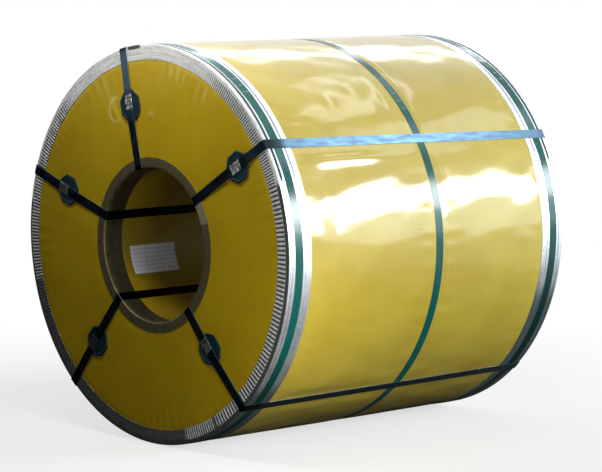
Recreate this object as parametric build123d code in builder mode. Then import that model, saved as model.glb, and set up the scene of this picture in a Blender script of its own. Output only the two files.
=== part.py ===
"""A steel coil packed for transport, lying on its side: the wound strip in its sheet packing, with metal
edge protectors, hoop straps round it and eye straps through its bore. Millimetres, +Z up.

The coil's axis runs along X. The end that carries the strap seals, the near end, faces -X. The origin is
on the floor below the middle of the coil. Angles about the axis run from +Y towards +Z."""
import os
from math import degrees, sqrt

from build123d import *

# The wound strip
strip_width = 1250.0
coil_radius = 650.0
bore_radius = 254.0

# The packing sheet: outer wrap, end discs and bore liner
sheet_thickness = 0.9

# The edge protectors, bent from sheet to an L section
protector_thickness = 0.9
bend_radius = 3.5
rim_band_width = 97.0
rim_flange_width = 49.0
bore_band_width = 76.0
bore_flange_width = 34.0

# The crimps that gather the outer protectors' flange to its smaller radius
crimp_count = 300
crimp_foot = 8.0
crimp_crest = 3.0
crimp_height = 2.4
crimp_margin = 2.0

# The hoop straps round the coil, each closed by a lap of its two ends. The middle one was drawn tight a
# little off the coil's middle, towards the far end.
hoop_width = 32.0
hoop_thickness = 0.9
hoop_inset = 45.0
middle_hoop_shift = 38.0
hoop_lap = 120.0
hoop_lap_angles = {"near": 120.0, "middle": 129.5, "far": 120.0}

# The eye straps through the bore
eye_strap_width = 32.0
eye_strap_thickness = 0.7
eye_strap_angles = {
    "top": 75.6,
    "upper_right": 145.8,
    "lower_right": 228.0,
    "lower_left": 311.5,
    "upper_left": 18.5,
}

# The octagonal pads on the near end, by their place on the bare ring between the two protectors' flanges,
# as a share of its breadth, and by their shift across the strap
pad_length = 100.0
pad_width = 96.0
pad_corner = 27.0
pad_thickness = 5.0
pad_place_shares = {
    "top": 0.555,
    "upper_right": 0.684,
    "lower_right": 0.419,
    "lower_left": 0.511,
    "upper_left": 0.558,
}
pad_shifts = {"top": 7.0, "upper_right": 3.0, "lower_right": -2.0, "lower_left": -12.0, "upper_left": 6.0}

# The crimped seals that close the eye straps on their pads, by their shift along the strap from the pad
seal_length = 48.0
seal_wall = 1.0
seal_shifts = {"top": 12.0, "upper_right": -8.0, "lower_right": -18.0, "lower_left": 19.0, "upper_left": 20.0}
notch_radius = 3.0
notch_shares = (-0.25, 0.25)

# The paper label in the bore
label_length = 194.0
label_height = 98.0
label_inset = 108.0
label_angle = -18.0
label_thickness = 0.3

# How far a cut runs past the solid that it cuts
overrun = 1.0

# Distances from the axis, and from the coil's middle along it, that the sizes above give
half_strip = strip_width / 2
wrap_radius = coil_radius + sheet_thickness
liner_radius = bore_radius - sheet_thickness
disc_face = half_strip + sheet_thickness
rim_radius = wrap_radius + protector_thickness
throat_radius = liner_radius - protector_thickness
flange_face = disc_face + protector_thickness
bend_start = flange_face - bend_radius
crest_face = flange_face + crimp_height
hoop_radius = rim_radius + hoop_thickness
pad_face = disc_face + pad_thickness
rim_flange_edge = rim_radius - rim_flange_width
bore_flange_edge = throat_radius + bore_flange_width

# A flat strap touches the round bore with its two edges
strap_seat = sqrt(throat_radius**2 - (eye_strap_width / 2) ** 2)

# The coil lies on its two end hoops
axis_height = hoop_radius
axis_plane = Plane.XY.offset(axis_height)
cross_plane = Plane(axis_plane.origin, x_dir=axis_plane.y_dir, z_dir=axis_plane.x_dir)
coil_axis = Axis(axis_plane.origin, axis_plane.x_dir)

os.makedirs("parts", exist_ok=True)


def radial_plane(angle):
    """The plane that holds the coil's axis at an angle about it: local x along the axis, y outwards."""
    return axis_plane.rotated((angle, 0, 0))


def near_end_plane(angle, face, radius):
    """A plane that faces out of the near end: local x across a strap at that angle, y outwards along it."""
    radial = radial_plane(angle)
    middle = radial.from_local_coords((-face, radius, 0))
    return Plane(middle, x_dir=radial.z_dir, z_dir=-radial.x_dir)


def turn_section(start, end, inside, outside, angle=0, arc=360):
    """Turns a rectangular section about the coil's axis, from start to end along it, into the open part."""
    with BuildSketch(radial_plane(angle)) as section:
        with Locations(((start + end) / 2, (inside + outside) / 2)):
            Rectangle(end - start, outside - inside)
    revolve(section.sketch, axis=coil_axis, revolution_arc=arc)


def turn_bent_sheet(band_end, radius, flange_end, sheet_side):
    """Turns a bent sheet about the axis: a band at the radius, and a flange across the near end."""
    with BuildSketch(axis_plane) as section:
        with BuildLine():
            FilletPolyline(
                (band_end, radius),
                (-flange_face, radius),
                (-flange_face, flange_end),
                radius=bend_radius,
            )
            offset(amount=protector_thickness, side=sheet_side)
        make_face()
    revolve(section.sketch, axis=coil_axis)


def strap_route(pad_radius, lift):
    """An eye strap's loop in its radial plane, lifted off what it lies on."""
    return [
        (-crest_face - lift, hoop_radius + lift),
        (-crest_face - lift, rim_flange_edge),
        (-pad_face - lift, pad_radius + pad_length / 2),
        (-pad_face - lift, pad_radius - pad_length / 2),
        (-flange_face - lift, bore_flange_edge),
        (-flange_face - lift, strap_seat - lift),
        (flange_face + lift, strap_seat - lift),
        (flange_face + lift, bore_flange_edge),
        (crest_face + lift, rim_flange_edge),
        (crest_face + lift, hoop_radius + lift),
    ]


def fill_strap_loop(pad_radius, lift, mode):
    """Fills an eye strap's loop in the open sketch, with its four corners rounded."""
    bend = bend_radius + lift
    with BuildLine() as loop:
        FilletPolyline(
            *strap_route(pad_radius, lift),
            radius=[bend, 0, 0, 0, 0, bend, bend, 0, 0, bend],
            close=True,
        )
    make_face(loop.edges(), mode=mode)


def save(piece, name):
    """Labels a finished piece and writes it."""
    piece.part.label = name
    export_step(piece.part, f"parts/{name}.step")


def save_pair(piece, name):
    """Writes a piece of the near end and its mirror image at the far end."""
    with BuildPart() as far_piece:
        mirror(piece.part, about=Plane.YZ)
    save(piece, f"near_{name}")
    save(far_piece, f"far_{name}")


with BuildPart() as wound_strip:
    turn_section(-half_strip, half_strip, bore_radius, coil_radius)
save(wound_strip, "wound_strip")

# The sheets stop where the protectors' bends begin
with BuildPart() as outer_wrap:
    turn_section(-bend_start, bend_start, coil_radius, wrap_radius)
save(outer_wrap, "outer_wrap")

with BuildPart() as bore_liner:
    turn_section(-bend_start, bend_start, liner_radius, bore_radius)
save(bore_liner, "bore_liner")

with BuildPart() as end_disc:
    turn_section(-disc_face, -half_strip, throat_radius + bend_radius, rim_radius - bend_radius)
save_pair(end_disc, "end_disc")

# One crimp, lying outwards along local x where local z is the coil's axis, is repeated round that axis
with BuildPart() as crimp:
    with BuildSketch(Plane.YZ.offset(rim_flange_edge + crimp_margin)):
        with BuildLine():
            Polyline(
                (-crimp_foot / 2, -flange_face),
                (-crimp_crest / 2, -crest_face),
                (crimp_crest / 2, -crest_face),
                (crimp_foot / 2, -flange_face),
                close=True,
            )
        make_face()
    extrude(amount=rim_flange_width - bend_radius - 2 * crimp_margin)

with BuildPart(cross_plane) as rim_protector:
    turn_bent_sheet(-flange_face + rim_band_width, rim_radius, rim_flange_edge, Side.LEFT)
    with PolarLocations(0, crimp_count):
        add(crimp.part)
save_pair(rim_protector, "rim_protector")

with BuildPart() as bore_protector:
    turn_bent_sheet(-flange_face + bore_band_width, throat_radius, bore_flange_edge, Side.RIGHT)
save_pair(bore_protector, "bore_protector")

hoop_places = {
    "near": (-flange_face + hoop_inset, rim_radius),
    "middle": (middle_hoop_shift, wrap_radius),
    "far": (flange_face - hoop_inset, rim_radius),
}
for place, (middle, radius) in hoop_places.items():
    start, end = middle - hoop_width / 2, middle + hoop_width / 2
    top = radius + hoop_thickness
    with BuildPart() as hoop:
        turn_section(start, end, radius, top)
        turn_section(start, end, top, top + hoop_thickness, hoop_lap_angles[place], degrees(hoop_lap / top))
    save(hoop, f"{place}_hoop_strap")

for place, angle in eye_strap_angles.items():
    pad_radius = bore_flange_edge + pad_place_shares[place] * (rim_flange_edge - bore_flange_edge)
    with BuildPart() as eye_strap:
        with BuildSketch(radial_plane(angle)):
            fill_strap_loop(pad_radius, eye_strap_thickness, Mode.ADD)
            fill_strap_loop(pad_radius, 0, Mode.SUBTRACT)
        extrude(amount=eye_strap_width / 2, both=True)
    save(eye_strap, f"{place}_eye_strap")

    with BuildPart() as pad:
        with BuildSketch(near_end_plane(angle, disc_face, pad_radius)) as octagon:
            with Locations((pad_shifts[place], 0)):
                Rectangle(pad_width, pad_length)
            chamfer(octagon.vertices(), pad_corner)
        extrude(amount=pad_thickness)
    save(pad, f"{place}_pad")

    with BuildPart() as seal:
        seat = near_end_plane(angle, pad_face, pad_radius + seal_shifts[place])
        seal_width = eye_strap_width + 2 * seal_wall
        with BuildSketch(seat):
            Rectangle(seal_width, seal_length)
        extrude(amount=eye_strap_thickness + seal_wall)
        with BuildSketch(seat):
            Rectangle(eye_strap_width, seal_length + overrun)
        extrude(amount=eye_strap_thickness, mode=Mode.SUBTRACT)
        with BuildSketch(seat):
            with Locations(
                [(side * seal_width / 2, share * seal_length) for side in (-1, 1) for share in notch_shares]
            ):
                Circle(notch_radius)
        extrude(amount=eye_strap_thickness + seal_wall, mode=Mode.SUBTRACT)
    save(seal, f"{place}_seal")

label_start = -flange_face + label_inset
label_arc = degrees(label_height / liner_radius)
with BuildPart() as label:
    turn_section(
        label_start,
        label_start + label_length,
        liner_radius - label_thickness,
        liner_radius,
        label_angle - label_arc / 2,
        label_arc,
    )
save(label, "bore_label")
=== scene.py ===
"""Looks of a steel coil in its transport packing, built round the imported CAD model.

The coil's axis runs along X, and the near end, which carries the strap seals, faces -X. Angles about the
axis are in degrees from +Y towards +Z. Lengths are metres."""
import math

import bpy
import numpy as np
from bpy.props import FloatProperty, FloatVectorProperty, IntProperty, PointerProperty
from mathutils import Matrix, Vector


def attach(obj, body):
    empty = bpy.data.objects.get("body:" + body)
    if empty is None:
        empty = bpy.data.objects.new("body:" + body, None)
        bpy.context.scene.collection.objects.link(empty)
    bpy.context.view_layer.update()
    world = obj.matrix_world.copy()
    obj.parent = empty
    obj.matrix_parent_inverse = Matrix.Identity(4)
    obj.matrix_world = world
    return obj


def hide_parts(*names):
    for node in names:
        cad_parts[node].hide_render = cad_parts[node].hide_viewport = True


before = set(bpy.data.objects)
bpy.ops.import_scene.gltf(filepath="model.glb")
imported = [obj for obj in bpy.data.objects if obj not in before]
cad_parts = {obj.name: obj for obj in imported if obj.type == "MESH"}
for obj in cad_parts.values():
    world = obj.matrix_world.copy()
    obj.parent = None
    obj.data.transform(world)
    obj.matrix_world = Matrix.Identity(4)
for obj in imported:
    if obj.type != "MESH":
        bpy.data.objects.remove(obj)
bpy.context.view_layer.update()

bl_info = {
    "name": "Packed steel coil",
    "version": (1, 0, 0),
    "blender": (4, 5, 0),
    "location": "View3D > Sidebar > Steel coil",
    "description": "Builds the packing sheet, protectors, straps, pads, seals and label of a packed steel coil",
    "category": "Object",
}

NEAR, FAR = -1, 1
ENDS = {"near": NEAR, "far": FAR}
TURN = 2 * math.pi

# The eye straps: their angle at the bore's edge, at the near rim and at the far rim
EYE_STRAPS = {
    "top": (73.8, 77.0, 77.0),
    "upper_right": (142.5, 146.6, 149.3),
    "lower_right": (229.3, 227.6, 226.5),
    "lower_left": (313.0, 310.1, 310.1),
    "upper_left": (18.3, 19.0, 19.0),
}
# The pads: angle, distance from the axis, and shift across
PADS = {
    "top": (75.6, 0.4619, 0.007),
    "upper_right": (145.8, 0.5028, 0.003),
    "lower_right": (228.0, 0.4189, -0.002),
    "lower_left": (311.5, 0.4480, -0.012),
    "upper_left": (18.5, 0.4629, 0.006),
}
# The seals: shift along the strap from the pad, and how far each is darkened as painted shade
SEALS = {
    "top": (0.012, 0.0),
    "upper_right": (-0.008, 0.1),
    "lower_right": (-0.018, 0.55),
    "lower_left": (0.019, 0.9),
    "upper_left": (0.020, 0.75),
}
LABEL_ANGLE = -18.0
HOOP_LAPS = {"near": 120.0, "middle": 129.5, "far": 120.0}
# Where one length of a protector ends on top of the next, and the crimps' spacing in each of those lengths
RIM_LAPS = {"near": (48.0, 158.0, 240.0), "far": (30.0, 158.0, 275.0)}
CRIMP_PITCHES = {"near": (0.0088, 0.0136, 0.0105), "far": (0.0105, 0.0128, 0.0112)}
BORE_JOINTS = {"near": (142.5, 161.0), "far": (60.0, 75.0)}
# A stretch round the coil is given by its middle, half its length and a share. In these, handling pressed the
# crimps nearly flat
FLAT_CRIMPS = {"near": ((81.5, 36.5, 0.65),), "far": ((340.0, 10.0, 0.65),)}
# Stretches darkened on the rim protectors, mostly as painted shade: in their grooves, along their bend, all over
# their flange and all over their band
RIM_SHADE = {
    "near": (
        ((103.0, 55.0, 1.0), (283.0, 125.0, 0.45)),
        # Along the bend, the short stretch at 81.9 degrees darkens a single spot
        ((199.0, 41.0, 0.85), (300.0, 70.0, 0.8), (81.9, 3.0, 1.0)),
        # On the flange, the thin stretch at 240.6 degrees darkens the edge of a lap
        ((300.0, 46.0, 0.72), (240.6, 0.6, 1.1)),
        ((256.0, 46.0, 0.735),),
    ),
    "far": (
        ((94.0, 64.0, 1.0), (274.0, 116.0, 0.6)),
        ((216.0, 58.0, 0.8), (330.0, 50.0, 0.7)),
        ((285.0, 40.0, 0.5),),
        ((248.0, 60.0, 0.72),),
    ),
}
# Stretches of painted shade on the hoops
HOOP_SHADE = {"near": ((256.0, 44.0, 0.72),), "middle": (), "far": ((248.0, 60.0, 0.76),)}
# How softly a stretch ends, in degrees: painted shade with a hard edge, a flattened length, and painted shade fading
# out
HARD_FADE, FLAT_FADE, SOFT_FADE = 2.0, 8.0, 14.0
# Single swellings of the outer wrap: place along the axis, angle, breadths along and round, and height
WRAP_SWELLS = (
    (-0.267, 134.0, 0.030, 0.035, 0.0010),
    (-0.134, 131.0, 0.040, 0.040, 0.0012),
    (-0.086, 137.0, 0.035, 0.030, 0.0009),
    (0.131, 130.0, 0.045, 0.045, 0.0012),
    (0.463, 130.0, 0.050, 0.040, 0.0013),
    (0.512, 136.0, 0.030, 0.030, 0.0009),
    (-0.480, 170.0, 0.030, 0.120, 0.0014),
    (-0.420, 169.0, 0.018, 0.150, -0.0012),
    (-0.405, 152.5, 0.090, 0.024, 0.0054),
    (-0.235, 152.5, 0.105, 0.024, 0.0058),
    (-0.050, 166.0, 0.055, 0.070, 0.0014),
    (0.097, 155.0, 0.018, 0.160, 0.0010),
    (-0.019, 134.0, 0.018, 0.140, 0.0010),
    (0.205, 164.0, 0.040, 0.060, 0.0012),
    (0.334, 168.0, 0.050, 0.050, 0.0012),
    (0.490, 163.0, 0.045, 0.080, 0.0014),
    (-0.330, 20.0, 0.090, 0.070, 0.0012),
    (0.270, 40.0, 0.060, 0.090, 0.0012),
    (-0.200, 330.0, 0.080, 0.060, 0.0010),
    (0.300, 345.0, 0.060, 0.060, 0.0012),
)
# Single swellings of the near end disc: distance from the axis, angle, breadths outwards and round, and height
DISC_SWELLS = ((0.462, 65.7, 0.035, 0.014, 0.0022), (0.425, 88.9, 0.012, 0.012, 0.0014))
# From where to where an end disc's ripples get a painted sheen on their crests
DISC_SHEENS = {NEAR: ((54.0, 66.0), (86.0, 120.0)), FAR: ((40.0, 70.0), (200.0, 225.0))}
# Beside the near end's top pad, a ring of painted reflection (its middle across and above the axis, and its radius)
# and a painted glint (its middle, and its breadth and height)
SHEEN_RING = (0.1768, 0.4321, 0.040)
GLINT_SPOT = (0.0082, 0.4246, 0.018, 0.008)
# A rim protector's rolled band: distance from the flange's face, and rise above its round, in millimetres
RIM_ROLLS = (
    (97.0, 0.0), (88.0, 0.0), (82.5, 0.4), (77.5, 0.0), (73.5, -0.5), (69.5, 0.0), (61.0, 0.0), (29.0, 0.0),
    (24.0, 0.0), (21.5, -0.3), (19.0, -0.55), (14.0, -0.55), (12.0, -0.25), (10.0, 0.35), (8.0, 0.5), (5.5, 0.35),
)
# Lamps: place, the point it faces, its breadth and height, its power in watts and its tint
LAMPS = {
    "Key": ((3.4, -6.4, 2.4), (0.0, -0.3, 0.7), 2.4, 2.0, 275.0, "#f4fcff"),
    "Band": ((5.4, -5.5, 2.8), (0.0, -0.3, 0.7), 2.8, 1.5, 280.0, "#f4fcff"),
    "Low_Band": ((5.6, -6.0, 1.2), (0.0, -0.3, 0.7), 3.4, 1.4, 45.0, "#eefdff"),
    "Sky": ((5.4, -3.4, 5.7), (0.0, -0.3, 0.9), 3.4, 1.1, 30.0, "#e4f4ff"),
    "Roof": ((5.0, -0.4, 6.5), (0.0, -0.2, 0.9), 3.4, 0.16, 13.0, "#f4fbff"),
    "Top_Band": ((5.0, 3.4, 4.9), (0.0, 0.0, 0.9), 3.6, 0.9, 54.0, "#f4fbff"),
    "Face_Top": ((-1.05, -0.1, 1.9), (-0.63, 0.0, 0.6), 1.2, 0.3, 11.5, "#fff9ee"),
    "Face_Low": ((-0.95, -1.3, 0.35), (-0.63, 0.0, 0.5), 0.5, 0.3, 4.7, "#fff9ee"),
    "Eye": ((2.6, -0.9, 0.9), (0.0, 0.1, 0.62), 0.5, 0.5, 10.5, "#f0f6ff"),
    "Back": ((1.0, 7.0, 3.6), (0.0, 0.0, 0.7), 4.0, 2.0, 160.0, "#ffffff"),
}
# Lamps that show in reflections and light nothing else
REFLECTED_LAMPS = ("Low_Band",)


def length(name, default, description):
    return FloatProperty(
        name=name, description=description, default=default, min=0.0, precision=4, unit="LENGTH",
        subtype="DISTANCE",
    )


def linear(code):
    """A colour written as sRGB hex, as linear light."""
    channels = [int(code[i : i + 2], 16) / 255 for i in (1, 3, 5)]
    return [c / 12.92 if c <= 0.04045 else ((c + 0.055) / 1.055) ** 2.4 for c in channels]


def colour(name, code, description):
    return FloatVectorProperty(
        name=name, description=description, default=linear(code), min=0.0, max=1.0, size=3, subtype="COLOR"
    )


class CoilSizes(bpy.types.PropertyGroup):
    axis_height: length("Axis height", 0.6527, "Height of the coil's axis above the floor")
    sheet_end: length("Sheet end", 0.6233, "Distance from the coil's middle at which wrap and liner stop")
    coil_radius: length("Coil radius", 0.650, "Outer radius of the wound strip")
    wrap_radius: length("Wrap radius", 0.6509, "Radius of the outer wrap where it lies tight")
    bore_radius: length("Bore radius", 0.254, "Inner radius of the wound strip")
    liner_radius: length("Liner radius", 0.2531, "Radius of the bore liner where it lies tight")
    strip_face: length("Strip face", 0.625, "Distance of the wound strip's ends from the coil's middle")
    disc_face: length("Disc face", 0.6259, "Distance of the end discs' outer faces from the coil's middle")


class SheetWaves(bpy.types.PropertyGroup):
    seed: IntProperty(name="Seed", description="Fixes where the sheet's waves fall", default=7, min=0)
    pillow: length("Pillow", 0.0020, "How far the wrap stands out between two hoops")
    swell: length("Swell", 0.0010, "Height of the wrap's long waves")
    dimple: length("Dimple", 0.00040, "Height of the wrap's short waves")
    pucker: length("Pucker", 0.0004, "Height of the wrinkles beside hoops and protectors")
    flute: length("Flute", 0.0015, "Height of the end discs' ripples beside the crimped flange")
    seam_step: length("Seam step", 0.0007, "How far the wrap's edge stands up at its seam beside the middle hoop")
    seam_place: length("Seam place", 0.029, "Distance of the seam from the middle hoop's edge")
    liner_wave: length("Liner wave", 0.0003, "Height of the bore liner's waves")


class ProtectorSizes(bpy.types.PropertyGroup):
    sheet: length("Sheet", 0.0009, "Thickness of the protectors' sheet")
    bend: length("Bend", 0.0035, "Outer radius of the bend between band and flange")
    rim_radius: length("Rim radius", 0.6518, "Outer radius of the rim protectors' band")
    rim_flange_edge: length("Rim flange edge", 0.6028, "Radius at which the crimped flange ends")
    rim_band: length("Rim band", 0.097, "Width of the rim protectors' band")
    flange_face: length("Flange face", 0.6268, "Distance of the flanges' outer faces from the coil's middle")
    throat_radius: length("Throat radius", 0.2522, "Inner radius of the bore protectors' band")
    bore_flange_edge: length("Bore flange edge", 0.2862, "Radius at which the bore protectors' flange ends")
    bore_band: length("Bore band", 0.076, "Width of the bore protectors' band")
    crimp_height: length("Crimp height", 0.0024, "How far a crimp's crest stands out")
    crimp_spread: FloatProperty(
        name="Crimp spread", description="How unevenly the crimps were pressed", default=0.3, min=0.0, max=1.0
    )
    lap_lift: length("Lap lift", 0.0005, "How far the end of one length stands on the next")


class StrapSizes(bpy.types.PropertyGroup):
    width: length("Width", 0.032, "Width of every strap")
    hoop_thickness: length("Hoop thickness", 0.0009, "Thickness of the hoop straps")
    hoop_inset: length("Hoop inset", 0.045, "Distance of the end hoops from the flanges' faces")
    middle_shift: length("Middle hoop shift", 0.038, "How far the middle hoop lies off the coil's middle")
    hoop_lap: length("Hoop lap", 0.120, "Length of a hoop's lap joint")
    eye_thickness: length("Eye strap thickness", 0.0007, "Thickness of the eye straps")
    eye_bend: length("Eye strap bend", 0.0035, "Inner radius of an eye strap's bends")
    edge: length("Edge", 0.0002, "Rounding of the straps' edges")


class FittingSizes(bpy.types.PropertyGroup):
    pad_length: length("Pad length", 0.100, "Length of a pad along its strap")
    pad_width: length("Pad width", 0.096, "Width of a pad")
    pad_corner: length("Pad corner", 0.027, "Leg of a pad's cut corners")
    pad_round: length("Pad rounding", 0.016, "Rounding of a pad's corners")
    pad_thickness: length("Pad thickness", 0.005, "Thickness of a pad")
    seal_length: length("Seal length", 0.048, "Length of a seal along its strap")
    seal_wall: length("Seal wall", 0.001, "Thickness of a seal's sheet")
    seal_notch: length("Seal notch", 0.003, "Depth of the notches pressed into a seal's sides")
    label_length: length("Label length", 0.194, "Length of the label along the bore")
    label_height: length("Label height", 0.098, "Height of the label round the bore")
    label_inset: length("Label inset", 0.108, "Distance of the label from the near flange's face")
    label_sheet: length("Label sheet", 0.0003, "Thickness of the label")
    label_lift: length("Label lift", 0.0015, "How far the label's free corners curl off the liner")


class Finishes(bpy.types.PropertyGroup):
    wrap_yellow: colour("Wrap yellow", "#ceb743", "Enamel of the outer wrap")
    wrap_ochre: colour("Wrap ochre", "#c4aa37", "Enamel of the outer wrap where it is rubbed or dusty")
    disc_yellow: colour("Disc yellow", "#cbaf14", "Enamel of the end discs")
    disc_ochre: colour("Disc ochre", "#c1a30e", "Enamel of the end discs where it is rubbed or dusty")
    # The bore liner's yellows are darker copies of the enamel outside: painted shade for the dim bore
    liner_yellow: colour("Liner yellow", "#a18a1c", "Enamel of the bore liner, dull with dust")
    liner_ochre: colour("Liner ochre", "#8f7916", "Enamel of the bore liner where dust lies thick")
    zinc_bright: colour("Bright zinc", "#f4f8fc", "Rim protectors")
    zinc_shade: colour("Zinc shade", "#bcc4cd", "Rim protectors in their darker spangle")
    zinc_dull: colour("Dull zinc", "#767052", "Bore protectors")
    zinc_bloom: colour("Dull zinc's bloom", "#59543c", "Bore protectors where their bloom lies")
    zinc_fresh: colour("Fresh zinc", "#b9b08c", "Joint pieces of the bore protectors")
    fresh_bloom: colour("Fresh zinc's bloom", "#8d866a", "Joint pieces of the bore protectors where their bloom lies")
    hoop_green: colour("Hoop green", "#0c5b56", "Paint of the hoop straps")
    hoop_rubbed: colour("Rubbed green", "#5d9c8f", "Paint of the hoop straps where a tool rubbed it")
    strap_blue: colour("Strap blue", "#7098ae", "Blued steel of the eye straps")
    strap_black: colour("Strap black", "#657c96", "Lacquer of the eye straps")
    pad_teal: colour("Pad teal", "#03252c", "Plastic of the pads")
    seal_zinc: colour("Seal zinc", "#fafbfd", "Seals")
    label_paper: colour("Label paper", "#f0f4ff", "Paper of the label")
    label_ink: colour("Label ink", "#aeb2ca", "Ruled lines of the label")
    strip_steel: colour("Strip steel", "#8f959a", "Bare steel of the wound strip")


class StageSettings(bpy.types.PropertyGroup):
    azimuth: FloatProperty(name="Azimuth", description="Camera's turn about the coil, in degrees", default=-42.83)
    elevation: FloatProperty(name="Elevation", description="Camera's height angle, in degrees", default=6.15)
    distance: length("Distance", 9.528, "Camera's distance from the point it looks at")
    aim: FloatVectorProperty(
        name="Aim", description="Point that the camera looks at", default=(0.0, -0.031, 0.640), subtype="XYZ"
    )
    lens: FloatProperty(name="Lens", description="Focal length in millimetres on a 36 mm sensor", default=168.2)
    floor_size: length("Floor size", 160.0, "Breadth of the floor")
    fill: FloatProperty(name="Fill", description="World light that reaches matt surfaces", default=0.06, min=0.0)


# Shapes


def smooth_step(low, high, value):
    share = np.clip((value - low) / (high - low), 0.0, 1.0)
    return share * share * (3 - 2 * share)


def round_axis(x, radius, angle):
    """Points at a place along the coil's axis, a distance from it and an angle about it in radians."""
    height = bpy.context.scene.coil_sizes.axis_height
    x, radius, angle = np.broadcast_arrays(x, radius, angle)
    return np.stack([x, radius * np.cos(angle), height + radius * np.sin(angle)], -1)


def on_near_end(angle, across, outward, above):
    """Points on the near end: across a strap at that angle, outwards along it, and above the end disc."""
    sizes = bpy.context.scene.coil_sizes
    across, outward, above = np.broadcast_arrays(across, outward, above)
    c, s = math.cos(angle), math.sin(angle)
    up = sizes.axis_height + outward * s + across * c
    return np.stack([-(sizes.disc_face + above), outward * c - across * s, up], -1)


def full_circle(count):
    """Angles in radians all round the coil, one to a row."""
    return np.linspace(0, TURN, count, endpoint=False)[:, None]


def turn_apart(angle, other):
    """The angle between two directions, in radians."""
    return np.abs((angle - other + math.pi) % TURN - math.pi)


def along_stretches(turn, stretches, fade):
    """The greatest share that stretches round the coil have at an angle in radians, each fading at its ends."""
    most = np.zeros_like(turn)
    for middle, half, share in stretches:
        beyond = np.degrees(turn_apart(turn, math.radians(middle))) - half
        most = np.maximum(most, share * (1 - smooth_step(-fade, fade, beyond)))
    return most


def soft_waves(angle, along, seed, turns, spacing, count=14):
    """Seeded waves that close round the coil: so many to a turn, and as far apart along it as spacing."""
    draw = np.random.default_rng(seed)
    total = 0.0
    for _ in range(count):
        per_turn = draw.integers(turns[0], turns[1] + 1)
        per_length = draw.uniform(-1, 1) * 2 * math.pi / spacing
        total = total + np.cos(per_turn * angle + per_length * along + draw.uniform(0, TURN))
    return total / math.sqrt(count / 2)


def waves_round(turn, seed, turns, count=6):
    """Seeded waves round the coil that don't change along it."""
    return soft_waves(turn, 0.0, seed, turns, 1.0, count)


def steps(points):
    """Running length along points, from 0."""
    return np.concatenate([[0.0], np.cumsum(np.linalg.norm(np.diff(points, axis=0), axis=1))])


class Shell:
    """A closed skin through rings of points: closed along its run, or with a cap on each end."""

    def __init__(self, rings, closed=True, finish=0):
        count, around = rings.shape[:2]
        self.points = rings.reshape(-1, 3)
        self.finish = finish
        run = steps(np.concatenate([rings.mean(1), rings.mean(1)[:1]]))
        girth = steps(np.concatenate([rings[0], rings[0][:1]]))
        i = np.arange(count if closed else count - 1)[:, None]
        j = np.arange(around)[None, :]
        ahead, beside = (i + 1) % count, (j + 1) % around
        corners = [(i, j), (i, beside), (ahead, beside), (ahead, j)]
        quads = np.stack([a * around + b for a, b in corners], -1).reshape(-1, 4)
        uv = [(i, j), (i, j + 1), (i + 1, j + 1), (i + 1, j)]
        maps = np.stack([np.stack(np.broadcast_arrays(run[a], girth[b]), -1) for a, b in uv], 2).reshape(-1, 4, 2)
        last = (count - 1) * around
        caps = [] if closed else [list(range(around))[::-1], list(range(last, last + around))]
        if self.volume(quads, caps) < 0:
            quads, maps, caps = quads[:, ::-1], maps[:, ::-1], [cap[::-1] for cap in caps]
        self.faces = quads.tolist() + caps
        self.maps = np.concatenate([maps.reshape(-1, 2), np.zeros((sum(map(len, caps)), 2))])

    def volume(self, quads, caps):
        p = self.points - self.points.mean(0)
        total = 0.0
        for a, b, c in ((0, 1, 2), (0, 2, 3)):
            total += np.einsum("ij,ij->", p[quads[:, a]], np.cross(p[quads[:, b]], p[quads[:, c]]))
        for cap in caps:
            fan = p[cap]
            total += np.einsum("ij,ij->", np.cross(fan[1:-1], fan[2:]), np.repeat(fan[:1], len(fan) - 2, 0))
        return total


def mesh_of(name, shells, sharp=40.0):
    """One mesh of several shells, smooth but for edges sharper than the angle."""
    faces, finishes, start = [], [], 0
    for shell in shells:
        faces += [[v + start for v in face] for face in shell.faces]
        finishes += [shell.finish] * len(shell.faces)
        start += len(shell.points)
    mesh = bpy.data.meshes.new(name)
    mesh.from_pydata(np.concatenate([shell.points for shell in shells]).tolist(), [], faces)
    layer = mesh.uv_layers.new(name="Surface")
    maps = np.concatenate([shell.maps for shell in shells])
    layer.data.foreach_set("uv", maps.astype(np.float32).ravel())
    mesh.polygons.foreach_set("material_index", np.array(finishes, np.int32))
    mesh.polygons.foreach_set("use_smooth", np.ones(len(faces), bool))
    mesh.set_sharp_from_angle(angle=math.radians(sharp))
    mesh.update()
    return mesh


def store_values(mesh, name, values):
    """Stores a value for each of a mesh's points, for its finish to read. Points past the last value get 0."""
    stored = np.zeros(len(mesh.vertices), np.float32)
    values = np.asarray(values, np.float32).ravel()
    stored[: len(values)] = values
    mesh.attributes.new(name, "FLOAT", "POINT").data.foreach_set("value", stored)


def place_piece(name, mesh, finishes, slot, *nodes):
    """A finished piece in the frame, standing for its CAD nodes."""
    piece = bpy.data.objects.new(name, mesh)
    bpy.context.scene.collection.objects.link(piece)
    if not mesh.materials:
        for coat in finishes:
            mesh.materials.append(coat)
    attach(piece, "root")
    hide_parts(*nodes)
    return piece


def round_corners(points, radii, count):
    """A closed route with each corner rounded to its radius by count points."""
    points = np.asarray(points, float)
    route = []
    for index, bend in enumerate(radii):
        here = points[index]
        back, ahead = points[index - 1] - here, points[(index + 1) % len(points)] - here
        back, ahead = back / np.linalg.norm(back), ahead / np.linalg.norm(ahead)
        half = math.acos(np.clip(back @ ahead, -1, 1)) / 2
        if bend == 0 or half > math.radians(89.9):
            route.append(here)
            continue
        reach = bend / math.tan(half)
        middle = here + (back + ahead) / np.linalg.norm(back + ahead) * bend / math.sin(half)
        a, b = here + back * reach - middle, here + ahead * reach - middle
        sweep = math.pi - 2 * half
        for t in np.linspace(0, 1, count):
            route.append(middle + (math.sin((1 - t) * sweep) * a + math.sin(t * sweep) * b) / math.sin(sweep))
    return np.array(route)


# Finishes


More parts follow.
